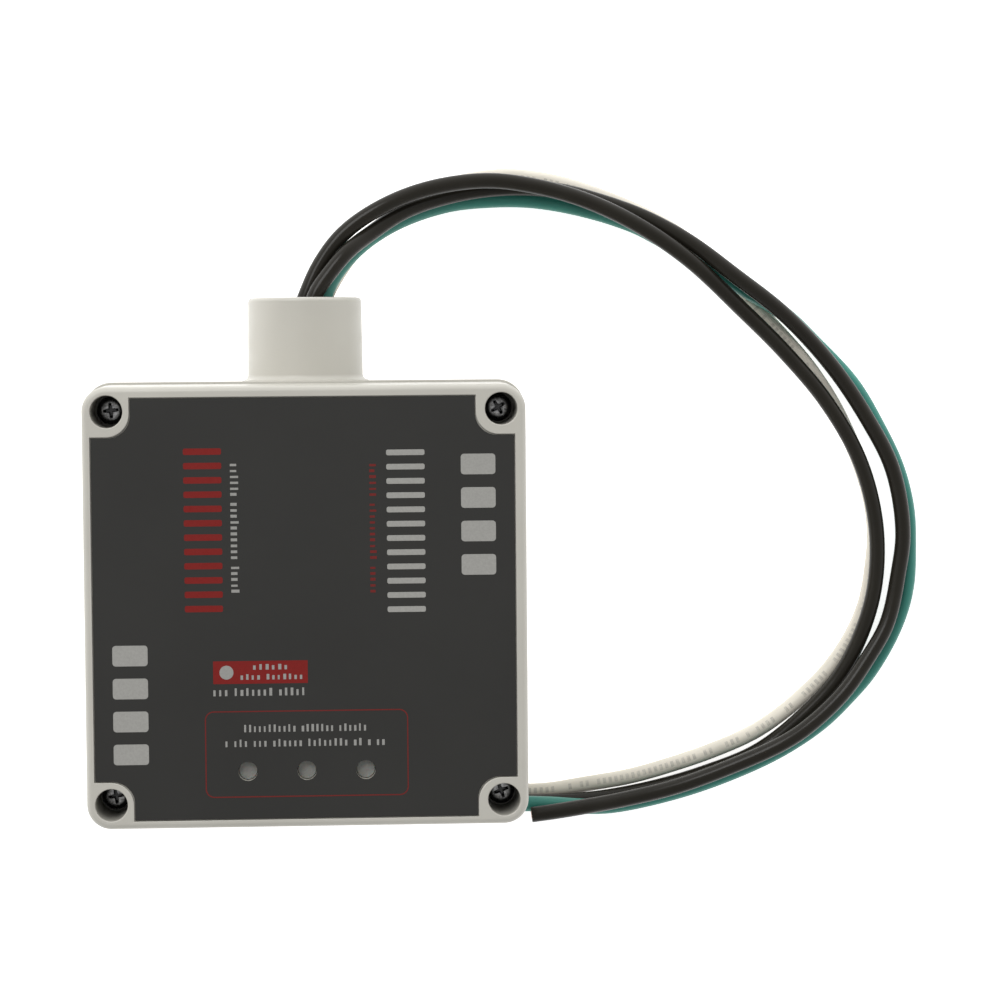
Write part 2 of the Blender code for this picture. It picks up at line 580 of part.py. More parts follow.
def build_board_screws():
    for number, (sx, sy) in enumerate(CORNERS, 1):
        place = (sx * BOARD_HOLE_X, CENTRE_Y + sy * BOARD_HOLE_Y, PART_Z + 0.0018)
        profile = screw_profile(0.0027, 0.0018, BOARD_SCREW_RADIUS, BOARD_SCREW_LENGTH)
        screw = turned(f"board_screw_{number}", profile, "screw_steel", place, steps=12)
        cut_cross_recess(screw, 0.0028, 0.0007, 0.0009)


def terminal_places():
    return [TERMINAL_PITCH * step for step in (-1.5, -0.5, 0.5, 1.5)]


def build_terminals():
    for number, x in enumerate(terminal_places(), 1):
        profile = ring_profile(TERMINAL_RADIUS, TERMINAL_BORE, 0, TERMINAL_HEIGHT)
        turned(f"lead_terminal_{number}", profile, "insert_brass", (x, CENTRE_Y + TERMINAL_Y, PART_Z))


def build_varistors():
    """Six disc varistors standing on edge in a row, each on a short foot."""
    for number in range(1, 7):
        x = VARISTOR_PITCH * (number - 3.5)
        disc = cylinder("disc", VARISTOR_RADIUS, -VARISTOR_THICKNESS / 2, VARISTOR_THICKNESS / 2, 24,
                        edge_round=0.0012)
        height = PART_Z + 0.001 + VARISTOR_RADIUS
        place = (x, CENTRE_Y + VARISTOR_Y, height)
        piece = finish_piece(f"varistor_{number}", disc, "varistor_epoxy", place, (0, math.pi / 2, 0))
        foot = box("foot", (0.002, 0.009, 0.003), (0, 0, 0.0015))
        cutter = finish_cutter(f"varistor_foot_{number}", foot, (x, CENTRE_Y + VARISTOR_Y, PART_Z))
        combine(piece, cutter, "UNION")


def lying_cylinder(name, radius, length, x, y, finish, edge_round):
    body = cylinder(name, radius, -length / 2, length / 2, 16, edge_round=edge_round)
    place = (x, CENTRE_Y + y, PART_Z + radius)
    finish_piece(name, body, finish, place, (math.pi / 2, 0, 0))


def build_fuses_and_small_parts():
    for number, x in enumerate((-0.026, 0.0, 0.026), 1):
        lying_cylinder(f"thermal_fuse_{number}", FUSE_RADIUS, FUSE_LENGTH, x, 0.0235, "fuse_body", 0.0006)
    for number, (x, _) in enumerate(led_places(), 1):
        lying_cylinder(f"led_resistor_{number}", 0.0015, 0.0075, x + 0.005, -0.0335, "resistor_body",
                       0.0004)
        lying_cylinder(f"series_diode_{number}", 0.0014, 0.0055, x - 0.005, -0.0335, "diode_body",
                       0.0003)
    for number, x in enumerate((-0.014, 0.014), 1):
        case = rounded_block("case", CAPACITOR_SIZE[0] / 2, CAPACITOR_SIZE[1] / 2, 0,
                             CAPACITOR_SIZE[2], 0.001, top_round=0.0005, segments=2)
        finish_piece(f"filter_capacitor_{number}", case, "capacitor_case", (x, CENTRE_Y - 0.019, PART_Z))


def build_status_lights():
    led_base = LED_TIP - LED_BODY
    for number, (x, y) in enumerate(led_places(), 1):
        profile = [(0, LED_BODY), (LED_RADIUS * 0.9, LED_BODY - LED_EDGE / 3), (LED_RADIUS, LED_BODY - LED_EDGE),
                   (LED_RADIUS, 0.001), (LED_FLANGE_RADIUS, 0.001), (LED_FLANGE_RADIUS, 0), (0, 0)]
        turned(f"status_led_{number}", profile, "led_lens", (x, CENTRE_Y + y, led_base))
        post = cylinder("post", SPACER_RADIUS, PART_Z, led_base - SEAM, 16)
        finish_piece(f"led_spacer_{number}", post, "spacer_nylon", (x, CENTRE_Y + y, 0))


def build_seal():
    plug = cylinder("plug", HUB_BORE_RADIUS - SEAM, BASE_HALF + SEAL_OUTER - SEAL_LENGTH,
                    BASE_HALF + SEAL_OUTER, 40)
    finish_piece("hub_seal_plug", plug, "seal_compound", (0, CENTRE_Y, HUB_HEIGHT),
                 (-math.pi / 2, 0, 0))


def build_leads():
    for name, route in LEAD_ROUTES.items():
        finish = "lead_" + name.split("_")[1]
        tube(name, route, LEAD_RADIUS, LEAD_STEP, finish)
    for name, route in INNER_ROUTES.items():
        finish = "lead_" + name.split("_")[2]
        tube(name, route, INNER_LEAD_RADIUS, 0.004, finish)


clear_scene()
PARTS = new_collection("whole_house_surge_protector")
CUTTERS = new_collection("cutters")
MATERIALS = {name: make_material(name) for name in FINISHES}
build_base()
build_gasket()
build_cover()
build_label()
build_cover_screws()
build_inserts()
build_board()
build_board_screws()
build_terminals()
build_varistors()
build_fuses_and_small_parts()
build_status_lights()
build_seal()
build_leads()
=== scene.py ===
"""Looks of a whole house surge protector that lies on its back with its four leads in a loop."""
import math
import random

import bmesh
import bpy
from mathutils import Matrix, Vector


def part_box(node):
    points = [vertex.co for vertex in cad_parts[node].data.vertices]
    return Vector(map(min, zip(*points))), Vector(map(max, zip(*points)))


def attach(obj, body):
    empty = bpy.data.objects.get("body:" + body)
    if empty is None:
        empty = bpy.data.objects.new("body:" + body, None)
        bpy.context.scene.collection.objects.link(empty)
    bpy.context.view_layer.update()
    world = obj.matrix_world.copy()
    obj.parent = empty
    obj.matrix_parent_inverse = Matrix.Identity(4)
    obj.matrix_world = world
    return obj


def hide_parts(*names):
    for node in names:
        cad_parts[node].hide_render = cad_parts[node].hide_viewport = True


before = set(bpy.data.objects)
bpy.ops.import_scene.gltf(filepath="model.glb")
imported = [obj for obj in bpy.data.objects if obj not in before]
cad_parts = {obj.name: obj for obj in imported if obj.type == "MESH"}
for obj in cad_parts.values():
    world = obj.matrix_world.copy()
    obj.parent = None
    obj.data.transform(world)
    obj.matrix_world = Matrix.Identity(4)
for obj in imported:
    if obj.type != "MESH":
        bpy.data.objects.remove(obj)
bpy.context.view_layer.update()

MM = 0.001
CENTRE_Y = -0.0116                   # the enclosure's own middle
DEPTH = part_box("front_cover")[1][2]
RIM_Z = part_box("enclosure_base")[1][2]
COVER_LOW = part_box("front_cover")[0][2]
WELL_PITCH = 0.0533
CORNERS = [(-1, 1), (1, 1), (-1, -1), (1, -1)]
WELL_RADIUS = 0.0044
SHOULDER_DROP = 0.0024               # screw head, from its top to its underside
STANDOFF_PITCH = (0.040, 0.034)
LABEL_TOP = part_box("front_label")[1][2]
LABEL_HALF = 0.05715
LABEL_NOTCH = 0.01065                # square bite at each corner of the label
LABEL_NOTCH_RADIUS = 0.0062
LABEL_SHIFT = (-0.0004, CENTRE_Y - 0.0004)
LABEL_RECESS = 0.0009
INK_GAP = 0.005 * MM                 # print above the label
INK_THICKNESS = 0.00002
LED_X = (-0.0163, -0.0003, 0.0157)
LED_Y = CENTRE_Y - 0.0446
LED_HOLE_RADIUS = 0.00263
LED_TOP = 0.0573
HUB_Z = 0.0185
HUB_BASE = CENTRE_Y + 0.061
HUB_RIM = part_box("enclosure_base")[1][1]
LEAD_RADIUS = 0.00225
LEAD_STEP = 0.0022                   # spacing of a lead's rings
LEAD_END_ROUND = 0.0003
CURVE_SAMPLES = 24
DASH_PITCH = 0.0017
SCREW_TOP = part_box("cover_screw_1")[1][2]

# Lead routes in millimetres from the middle of the enclosure's back face
LEAD_ROUTES = {
    "wire_black_1": [
        (-4.4, 66.8, 19.3), (-3.2, 75, 19.6), (0.1, 84.2, 19.6), (4.4, 93.5, 19), (10.9, 102, 18.7),
        (21.1, 109.2, 18.4), (34.7, 114.7, 16.3), (51.5, 117.2, 13.4), (65, 115.8, 12.3), (80, 111.6, 12.8),
        (94.6, 104.7, 13.4), (109.7, 94.5, 13.1), (125.8, 79.8, 9.8), (137.9, 67.9, 8), (150.3, 53.2, 7.3),
        (159.8, 36.4, 7.3), (164.4, 19, 7.3), (164.6, 2.5, 7.3), (161.5, -11, 7.2), (154.4, -26, 6.2),
        (144, -37.8, 5.1), (130.4, -48.6, 3.2), (114.5, -55, 2.5), (98.9, -59.2, 2.8), (82.9, -61.6, 4.7),
        (68, -62.1, 6.2), (61.2, -62.1, 6.3)],
    "wire_black_2": [
        (0.8, 66.8, 22.9), (1, 75, 23.4), (2.9, 84.6, 23.6), (7.4, 91.4, 22.6), (12.2, 97, 21),
        (18, 101.7, 17.4), (29, 108.8, 13.4), (43.9, 113.6, 8.6), (58.5, 115.4, 7), (72.4, 114.6, 7.3),
        (85.4, 111.2, 8.2), (98, 106.4, 9.4), (110.1, 99.6, 11), (123.2, 89.7, 12.6), (137.6, 78.6, 10.2),
        (151.5, 64, 7.5), (161.8, 48.8, 7.3), (169.5, 33.5, 7.3), (172.5, 15.5, 7.3), (171.1, 3.4, 7.5),
        (167.6, -11.1, 8.6), (161.7, -21.1, 10), (154.2, -31.2, 11.2), (144.1, -40.2, 12.8),
        (136.1, -45.2, 13.6), (120.5, -52.1, 12.6), (105, -57.5, 12.3), (89, -61, 12.8), (79, -62.4, 14.6),
        (70, -63.6, 15.5), (63.3, -64.4, 15.6)],
    "wire_green": [
        (4.4, 66.8, 17.7), (4.3, 75.3, 18.3), (5.5, 84.3, 18.4), (8.8, 90.9, 16.6), (15.6, 98.6, 13.1),
        (26.2, 105.6, 8.8), (40.6, 110.7, 4), (52, 112.1, 2.5), (65.5, 112, 2.4), (80.4, 109.3, 3.4),
        (95, 104.5, 4.8), (102.5, 100.5, 5.7), (111, 95.5, 6.9), (119, 91, 7.4), (126.5, 86, 7.5),
        (138, 79, 5), (147.6, 70.1, 2.9), (158.5, 58.4, 2.4), (165.8, 46.1, 2.4), (171.5, 34, 2.4),
        (174.5, 22, 2.4), (175, 11, 2.4), (174.3, -1.6, 2.4), (170.9, -12.7, 2.4), (163.5, -25.5, 2.9),
        (156.3, -33.2, 4.8), (147.9, -40.3, 7.6), (135.7, -47.8, 9), (120.1, -54.9, 7.8),
        (104.6, -59.9, 7.4), (87.5, -63.1, 8.6), (79, -63.1, 9.7), (69.5, -62.2, 10.9), (61.2, -61.8, 11.1)],
    "wire_white": [
        (1.2, 66.8, 13.6), (2.7, 75.3, 13.6), (5.8, 84.4, 13.6), (9.7, 91.5, 11.3), (14.7, 98.2, 8.2),
        (21.3, 104.4, 5.2), (28.6, 110, 3.1), (37, 114.8, 2.4), (46.8, 117.7, 2.4), (58.5, 119, 2.4),
        (72.6, 117.1, 2.4), (86.6, 112.6, 2.4), (99.9, 106.7, 2.4), (108.4, 101.7, 2.4), (117, 95, 2.4),
        (124.5, 87.5, 2.4), (131.5, 79.5, 2.4), (138.7, 71.7, 2.4), (145.4, 63.8, 2.4), (152.4, 53.3, 2.4),
        (157.7, 42.6, 2.4), (161.5, 33, 2.4), (164, 24, 2.4), (165, 15, 2.4), (164.4, 6, 2.4),
        (162.3, -5.6, 2.4), (158, -15.5, 2.4), (151.8, -24.5, 2.4), (146, -30.5, 2.4), (138.5, -37, 2.4),
        (129.5, -43, 2.4), (118, -48, 2.4), (106, -52, 2.4), (93, -55.5, 2.4), (79.5, -57.7, 2.4),
        (69.5, -59.2, 2.4), (61.2, -59.6, 2.4)],
}


CAMERA_LENS = 111.6
CAMERA_PLACE = (0.01029, 0.0593, 0.89885)
CAMERA_TURN = (-2.87, -2.922, -0.464)    # degrees


# ---------------------------------------------------------------- camera
def add_camera():
    data = bpy.data.cameras.new("camera")
    data.sensor_width = 36
    data.lens = CAMERA_LENS
    data.clip_end = 20
    camera = bpy.data.objects.new("camera", data)
    camera.location = CAMERA_PLACE
    camera.rotation_euler = [math.radians(angle) for angle in CAMERA_TURN]
    bpy.context.scene.collection.objects.link(camera)
    bpy.context.scene.camera = camera


# ---------------------------------------------------------------- materials
class Nodes:
    """Short way to write a node material."""

    def __init__(self, name, **inputs):
        self.material = bpy.data.materials.new(name)
        self.material.use_nodes = True
        self.tree = self.material.node_tree
        self.shader = self.tree.nodes["Principled BSDF"]
        for key, value in inputs.items():
            self.shader.inputs[key.replace("_", " ")].default_value = value

    def add(self, kind, **settings):
        node = self.tree.nodes.new("ShaderNode" + kind)
        for key, value in settings.items():
            if hasattr(node, key):
                setattr(node, key, value)
            else:
                node.inputs[key.replace("_", " ")].default_value = value
        return node

    def link(self, source, target):
        self.tree.links.new(source, target)

    def place(self):
        return self.add("TexCoord").outputs["Object"]

    def noise(self, scale, detail=3.0, roughness=0.5):
        node = self.add("TexNoise", Scale=scale, Detail=detail, Roughness=roughness)
        self.link(self.place(), node.inputs["Vector"])
        return node.outputs["Fac"]

    def stretch(self, value, low, high, from_low=0.3, from_high=0.7):
        node = self.add("MapRange", From_Min=from_low, From_Max=from_high, To_Min=low, To_Max=high)
        self.link(value, node.inputs["Value"])
        return node.outputs["Result"]

    def math(self, operation, first, second=None):
        node = self.add("Math", operation=operation)
        for socket, value in zip(node.inputs, (first, second)):
            if isinstance(value, (int, float)):
                socket.default_value = value
            elif value is not None:
                self.link(value, socket)
        return node.outputs["Value"]

    def blend(self, factor, first, second):
        """Mix of two colours, each a tuple or a socket."""
        node = self.add("Mix", data_type="RGBA")
        self.link(factor, node.inputs["Factor"])
        colours = [socket for socket in node.inputs if socket.type == "RGBA"]
        for socket, value in zip(colours, (first, second)):
            if isinstance(value, tuple):
                socket.default_value = (*value, 1)
            else:
                self.link(value, socket)
        return [socket for socket in node.outputs if socket.type == "RGBA"][0]

    def colour(self, socket):
        self.link(socket, self.shader.inputs["Base Color"])

    def roughness(self, socket):
        self.link(socket, self.shader.inputs["Roughness"])

    def bump(self, height, strength, distance):
        node = self.add("Bump", Strength=strength, Distance=distance)
        self.link(height, node.inputs["Height"])
        self.link(node.outputs["Normal"], self.shader.inputs["Normal"])


def shade(colour, factor):
    return tuple(channel * factor for channel in colour)


def plain_material(name, colour, low, high, grain=900.0, depth=0.00004, spread=0.06, **inputs):
    """Moulded or coated surface: slight colour drift, varied gloss and a fine grain."""
    nodes = Nodes(name, **inputs)
    drift = nodes.stretch(nodes.noise(60.0, 4.0), 0.0, 1.0)
    nodes.colour(nodes.blend(drift, shade(colour, 1 - spread), shade(colour, 1 + spread)))
    nodes.roughness(nodes.stretch(nodes.noise(220.0, 4.0), low, high))
    nodes.bump(nodes.noise(grain, 2.0), 0.35, depth)
    return nodes.material


def enclosure_material(name, painted_well_shade):
    """Warm light grey moulded plastic; its second argument adds painted shade that darkens the bottoms of the
    screw wells a little.
    """
    colour = (0.50, 0.485, 0.435)
    nodes = Nodes(name, Specular_IOR_Level=0.5, Coat_Weight=0.12, Coat_Roughness=0.15)
    drift = nodes.stretch(nodes.noise(35.0, 4.0), 0.0, 1.0)
    surface = nodes.blend(drift, shade(colour, 0.97), shade(colour, 1.03))
    scuffs = nodes.stretch(nodes.noise(700.0, 5.0, 0.7), 0.0, 0.16, 0.62, 0.8)
    surface = nodes.blend(scuffs, surface, shade(colour, 0.8))
    # painted shade: the colour turns darker deeper down inside the screw wells
    if painted_well_shade:
        split = nodes.add("SeparateXYZ")
        nodes.link(nodes.place(), split.inputs["Vector"])
        depth = nodes.math("SUBTRACT", DEPTH, split.outputs["Z"])
        deep = nodes.stretch(depth, 0.0, 1.0, 0.0012, 0.0105)
        inside = nodes.stretch(distance_to_well(nodes, split), 1.0, 0.0, 0.00465, 0.0049)
        well_shade_mask = nodes.math("MULTIPLY", deep, inside)
        surface = nodes.blend(well_shade_mask, surface, (0.36, 0.351, 0.32))
    nodes.colour(surface)
    nodes.roughness(nodes.stretch(nodes.noise(240.0, 4.0), 0.34, 0.46))
    nodes.bump(nodes.noise(1400.0, 2.0), 0.25, 0.00003)
    return nodes.material


def distance_to_well(nodes, split):
    """Sideways distance to the axis of the nearest screw well."""
    across = nodes.math("SUBTRACT", nodes.math("ABSOLUTE", split.outputs["X"]), WELL_PITCH)
    centred = nodes.math("SUBTRACT", split.outputs["Y"], CENTRE_Y)
    along = nodes.math("SUBTRACT", nodes.math("ABSOLUTE", centred), WELL_PITCH)
    square = nodes.math("ADD", nodes.math("MULTIPLY", across, across), nodes.math("MULTIPLY", along, along))
    return nodes.math("SQRT", square)


def label_material():
    colour = (0.026, 0.0255, 0.0235)
    nodes = Nodes("label_film", Specular_IOR_Level=0.3)
    drift = nodes.stretch(nodes.noise(18.0, 5.0), 0.0, 1.0)
    nodes.colour(nodes.blend(drift, shade(colour, 0.93), shade(colour, 1.08)))
    nodes.roughness(nodes.stretch(nodes.noise(300.0, 4.0), 0.48, 0.53))
    nodes.bump(nodes.noise(2600.0, 2.0), 0.3, 0.00002)
    return nodes.material


def print_material(name, colour):
    nodes = Nodes(name, Specular_IOR_Level=0.3)
    speckle = nodes.stretch(nodes.noise(1800.0, 3.0, 0.6), 0.0, 1.0)
    nodes.colour(nodes.blend(speckle, shade(colour, 0.92), shade(colour, 1.06)))
    nodes.roughness(nodes.stretch(nodes.noise(500.0, 3.0), 0.42, 0.55))
    nodes.bump(nodes.noise(2600.0, 2.0), 0.2, 0.00001)
    return nodes.material


def metal_material(name, colour, low, high, grain=500.0):
    nodes = Nodes(name, Metallic=1.0)
    drift = nodes.stretch(nodes.noise(400.0, 4.0), 0.0, 1.0)
    nodes.colour(nodes.blend(drift, shade(colour, 0.8), shade(colour, 1.15)))
    nodes.roughness(nodes.stretch(nodes.noise(grain, 4.0), low, high))
    nodes.bump(nodes.noise(1600.0, 3.0), 0.3, 0.00003)
    return nodes.material


def screw_material():
    """Dark-coated steel; the bright crown of the head is partly wear and partly painted highlight, and the
    lips of the recess carry a painted glint.
    """
    nodes = Nodes("screw_steel", Metallic=0.8)
    split = nodes.add("SeparateXYZ")
    nodes.link(nodes.place(), split.inputs["Vector"])
    crown = nodes.stretch(distance_to_well(nodes, split), 1.0, 0.0, 0.0021, 0.0028)
    sunk = nodes.math("SUBTRACT", SCREW_TOP, split.outputs["Z"])
    clear = nodes.stretch(sunk, 1.0, 0.0, 0.0005, 0.0009)
    worn = nodes.stretch(nodes.noise(1500.0, 4.0), 0.25, 1.0)
    # crown brightness: partly wear, partly painted highlight standing in for the dome's reflection
    bright = nodes.math("MULTIPLY", nodes.math("MULTIPLY", crown, clear), worn)
    surface = nodes.blend(bright, (0.1, 0.1, 0.102), (0.9, 0.9, 0.91))
    # painted glint: a near-white colour on the lips of the recess
    lip = nodes.math("MULTIPLY", nodes.stretch(sunk, 0.0, 1.0, 0.00004, 0.0001), bright)
    nodes.colour(nodes.blend(lip, surface, (0.95, 0.95, 0.96)))
    nodes.roughness(nodes.stretch(nodes.noise(700.0, 4.0), 0.16, 0.3))
    nodes.bump(nodes.noise(1600.0, 3.0), 0.3, 0.00002)
    return nodes.material


def lead_material(name, colour, low, high, gloss, marks=None):
    """Drawn wire insulation: faint ripples along the lead and, with marks, rows of plain dashes."""
    nodes = Nodes(name, Specular_IOR_Level=gloss)
    along = nodes.add("Attribute", attribute_name="along").outputs["Fac"]
    around = nodes.add("Attribute", attribute_name="around").outputs["Fac"]
    drift = nodes.stretch(nodes.noise(90.0, 4.0), 0.0, 1.0)
    surface = nodes.blend(drift, shade(colour, 0.93), shade(colour, 1.07))
    if marks:
        step = nodes.math("MULTIPLY", along, 1 / DASH_PITCH)
        tick = nodes.math("LESS_THAN", nodes.math("FRACT", step), 0.55)
        cell = nodes.add("TexWhiteNoise", noise_dimensions="1D")
        nodes.link(nodes.math("FLOOR", step), cell.inputs["W"])
        kept = nodes.math("GREATER_THAN", cell.outputs["Value"], 0.22)
        side = nodes.math("ABSOLUTE", nodes.math("SUBTRACT", around, marks[0]))
        band = nodes.math("LESS_THAN", side, marks[1])
        worn = nodes.stretch(nodes.noise(900.0, 4.0, 0.7), 0.25, 0.75, 0.35, 0.6)
        ink = nodes.math("MULTIPLY", nodes.math("MULTIPLY", tick, kept), nodes.math("MULTIPLY", band, worn))
        surface = nodes.blend(ink, surface, (0.42, 0.4, 0.355))
    nodes.colour(surface)
    nodes.roughness(nodes.stretch(nodes.noise(260.0, 4.0), low, high))
    ripple = nodes.add("TexNoise", noise_dimensions="1D", Scale=160.0, Detail=3.0)
    nodes.link(along, ripple.inputs["W"])
    nodes.bump(ripple.outputs["Fac"], 0.2, 0.00012)
    return nodes.material


def lens_material():
    nodes = Nodes("led_lens_diffused", Subsurface_Weight=0.3, Subsurface_Scale=0.002,
                  Specular_IOR_Level=0.5)
    cloud = nodes.stretch(nodes.noise(500.0, 4.0), 0.0, 1.0)
    nodes.colour(nodes.blend(cloud, (0.26, 0.26, 0.245), (0.33, 0.33, 0.31)))
    nodes.roughness(nodes.stretch(nodes.noise(900.0, 3.0), 0.2, 0.34))
    nodes.bump(nodes.noise(2200.0, 3.0), 0.3, 0.00002)
    return nodes.material


def copper_material():
    nodes = Nodes("stranded_copper", Metallic=1.0)
    drift = nodes.stretch(nodes.noise(1500.0, 3.0), 0.0, 1.0)
    nodes.colour(nodes.blend(drift, (0.36, 0.16, 0.09), (0.52, 0.26, 0.16)))
    nodes.roughness(nodes.stretch(nodes.noise(1800.0, 3.0), 0.25, 0.45))
    return nodes.material


def board_material():
    """Solder mask over faint copper tracks."""
    nodes = Nodes("board_laminate", Coat_Weight=0.4, Coat_Roughness=0.2)
    wave = nodes.add("TexBrick", Scale=120.0, Mortar_Size=0.012)
    nodes.link(nodes.place(), wave.inputs["Vector"])
    for socket, colour in zip(("Color1", "Color2", "Mortar"),
                              ((0.012, 0.11, 0.05), (0.014, 0.125, 0.055), (0.03, 0.2, 0.09))):
        wave.inputs[socket].default_value = (*colour, 1)
    nodes.colour(wave.outputs["Color"])
    nodes.roughness(nodes.stretch(nodes.noise(300.0, 3.0), 0.35, 0.5))
    nodes.bump(wave.outputs["Fac"], 0.4, 0.00004)
    return nodes.material


# ---------------------------------------------------------------- mesh helpers
def mesh_from(bm, name):
    bmesh.ops.recalc_face_normals(bm, faces=bm.faces)
    data = bpy.data.meshes.new(name)
    bm.to_mesh(data)
    bm.free()
    return data


def rounded_ring(half, radius, height, segments=14):
    """Corner-rounded square ring about the enclosure's middle."""
    ring = []
    for quarter in range(4):
        for index in range(segments + 1):
            angle = math.pi / 2 * (quarter + index / segments)
            sx, sy = [(1, 1), (-1, 1), (-1, -1), (1, -1)][quarter]
            ring.append((sx * (half - radius) + radius * math.cos(angle),
                         CENTRE_Y + sy * (half - radius) + radius * math.sin(angle), height))
    return ring


def loft(bm, rings):
    """Closed skin through rings that all have the same number of points."""
    loops = [[bm.verts.new(point) for point in ring] for ring in rings]
    for lower, upper in zip(loops, loops[1:]):
        for index in range(len(lower)):
            following = (index + 1) % len(lower)
            bm.faces.new((lower[index], lower[following], upper[following], upper[index]))
    bm.faces.new(loops[0][::-1])
    bm.faces.new(loops[-1])


def lathe(bm, profile, steps, place):
    """Skin turned about local Z from (radius, height) points, then put in place by a matrix."""
    loops = []
    for radius, height in profile:
        if radius < 1e-7:
            loops.append([bm.verts.new(place @ Vector((0, 0, height)))])
            continue
        turns = [2 * math.pi * index / steps for index in range(steps)]
        loops.append([bm.verts.new(place @ Vector((radius * math.cos(t), radius * math.sin(t), height)))
                      for t in turns])
    for first, second in zip(loops, loops[1:]):
        for index in range(steps):
            following = (index + 1) % steps
            corners = [first[index % len(first)], first[following % len(first)],
                       second[following % len(second)], second[index % len(second)]]
            unique = list(dict.fromkeys(corners))
            if len(unique) > 2:
                bm.faces.new(unique)


def arc(centre, radius, start, end, steps):
    """Points on an arc in the (radius, height) plane, angles in degrees."""
    angles = [math.radians(start + (end - start) * index / steps) for index in range(steps + 1)]
    return [(centre[0] + radius * math.cos(a), centre[1] + radius * math.sin(a)) for a in angles]


def add_piece(name, data, material, body, smooth_angle=32):
    piece = bpy.data.objects.new(name, data)
    bpy.context.scene.collection.objects.link(piece)
    data.materials.clear()
    data.materials.append(material)
    data.shade_smooth()
    data.set_sharp_from_angle(angle=math.radians(smooth_angle))
    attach(piece, body)
    return piece


def solid(name, build):
    """Temporary object whose mesh is filled by build(bm)."""
    bm = bmesh.new()
    build(bm)
    item = bpy.data.objects.new(name, mesh_from(bm, name))
    bpy.context.scene.collection.objects.link(item)
    return item


def carve(item, steps):
    """Applies a list of (operation, build) Booleans to a temporary object and returns its mesh."""
    operands = []
    for operation, build in steps:
        operand = solid("operand", build)
        modifier = item.modifiers.new(operation, "BOOLEAN")
        modifier.operation = operation
        modifier.object = operand
        operands.append(operand)
    graph = bpy.context.evaluated_depsgraph_get()
    data = bpy.data.meshes.new_from_object(item.evaluated_get(graph))
    for unused in operands + [item]:
        bpy.data.objects.remove(unused)
    return data


def weigh_normals(piece):
    modifier = piece.modifiers.new("weighted", "WEIGHTED_NORMAL")
    modifier.keep_sharp = True
    modifier.weight = 80


def turned(operation, profile, steps, place):
    """Boolean step for carve() with a turned shape."""
    return operation, lambda bm: lathe(bm, profile, steps, place)


def upright(x, y, z=0.0):
    return Matrix.Translation((x, y, z))


def at_corners(pitch_x, pitch_y, z=0.0):
    """One upright place in each corner of the enclosure."""
    return [upright(sx * pitch_x, CENTRE_Y + sy * pitch_y, z) for sx, sy in CORNERS]


def along_hub():
    """Local Z runs out of the hub, from the base wall."""
    return Matrix.Translation((0, HUB_BASE, HUB_Z)) @ Matrix.Rotation(-math.pi / 2, 4, "X")


# ---------------------------------------------------------------- leads
def smooth_route(points, step):
    """Points about one step apart on a centripetal Catmull-Rom curve through the given points."""
    knots = [Vector(point) for point in points]
    knots = [2 * knots[0] - knots[1]] + knots + [2 * knots[-1] - knots[-2]]
    fine = []
    for p0, p1, p2, p3 in zip(knots, knots[1:], knots[2:], knots[3:]):
        t1 = math.sqrt((p1 - p0).length)
        t2 = t1 + math.sqrt((p2 - p1).length)
        t3 = t2 + math.sqrt((p3 - p2).length)
        for index in range(CURVE_SAMPLES):
            t = t1 + (t2 - t1) * index / CURVE_SAMPLES
            a1 = p0.lerp(p1, t / t1)
            a2 = p1.lerp(p2, (t - t1) / (t2 - t1))
            a3 = p2.lerp(p3, (t - t2) / (t3 - t2))
            b1 = a1.lerp(a2, t / t2)
            b2 = a2.lerp(a3, (t - t1) / (t3 - t1))
            fine.append(b1.lerp(b2, (t - t1) / (t2 - t1)))
    fine.append(knots[-2])
    length = sum((b - a).length for a, b in zip(fine, fine[1:]))
    spacing = length / round(length / step)
    route = [fine[0]]
    travelled = 0.0
    for a, b in zip(fine, fine[1:]):
        travelled += (b - a).length
        if travelled >= spacing * len(route) - 1e-9:
            route.append(b)
    route[-1] = fine[-1]
    return route


def tube_mesh(name, route, radius, sides=28):
    """Round tube with rounded-off cut ends; stores how far along and around each point is."""
    bm = bmesh.new()
    along_layer = bm.verts.layers.float.new("along")
    around_layer = bm.verts.layers.float.new("around")
    travelled = 0.0
    rings = []
    for index, place in enumerate(route):
        before = route[max(index - 1, 0)]
        after = route[min(index + 1, len(route) - 1)]
        forward = (after - before).normalized()
        side = forward.cross(Vector((0, 0, 1))).normalized()
        up = side.cross(forward)
        travelled += (place - before).length if index else 0.0
        sizes = [1.0]
        if index == 0:
            sizes = [0.55, 0.93, 1.0]
        elif index == len(route) - 1:
            sizes = [1.0, 0.93, 0.55]
        for number, size in enumerate(sizes):
            inset = 0.0
            if index == 0 and number == 2:
                inset = LEAD_END_ROUND
            elif index == len(route) - 1 and number == 0:
                inset = -LEAD_END_ROUND
            ring = []
            for turn in range(sides):
                angle = 2 * math.pi * turn / sides
                offset = radius * size * (math.cos(angle) * side + math.sin(angle) * up)
                vert = bm.verts.new(place + inset * forward + offset)
                vert[along_layer] = travelled
                vert[around_layer] = turn / sides
                ring.append(vert)
            rings.append(ring)
    for first, second in zip(rings, rings[1:]):
        for turn in range(sides):
            following = (turn + 1) % sides
            bm.faces.new((first[turn], first[following], second[following], second[turn]))
    bm.faces.new(rings[0][::-1])
    bm.faces.new(rings[-1])
    return mesh_from(bm, name)


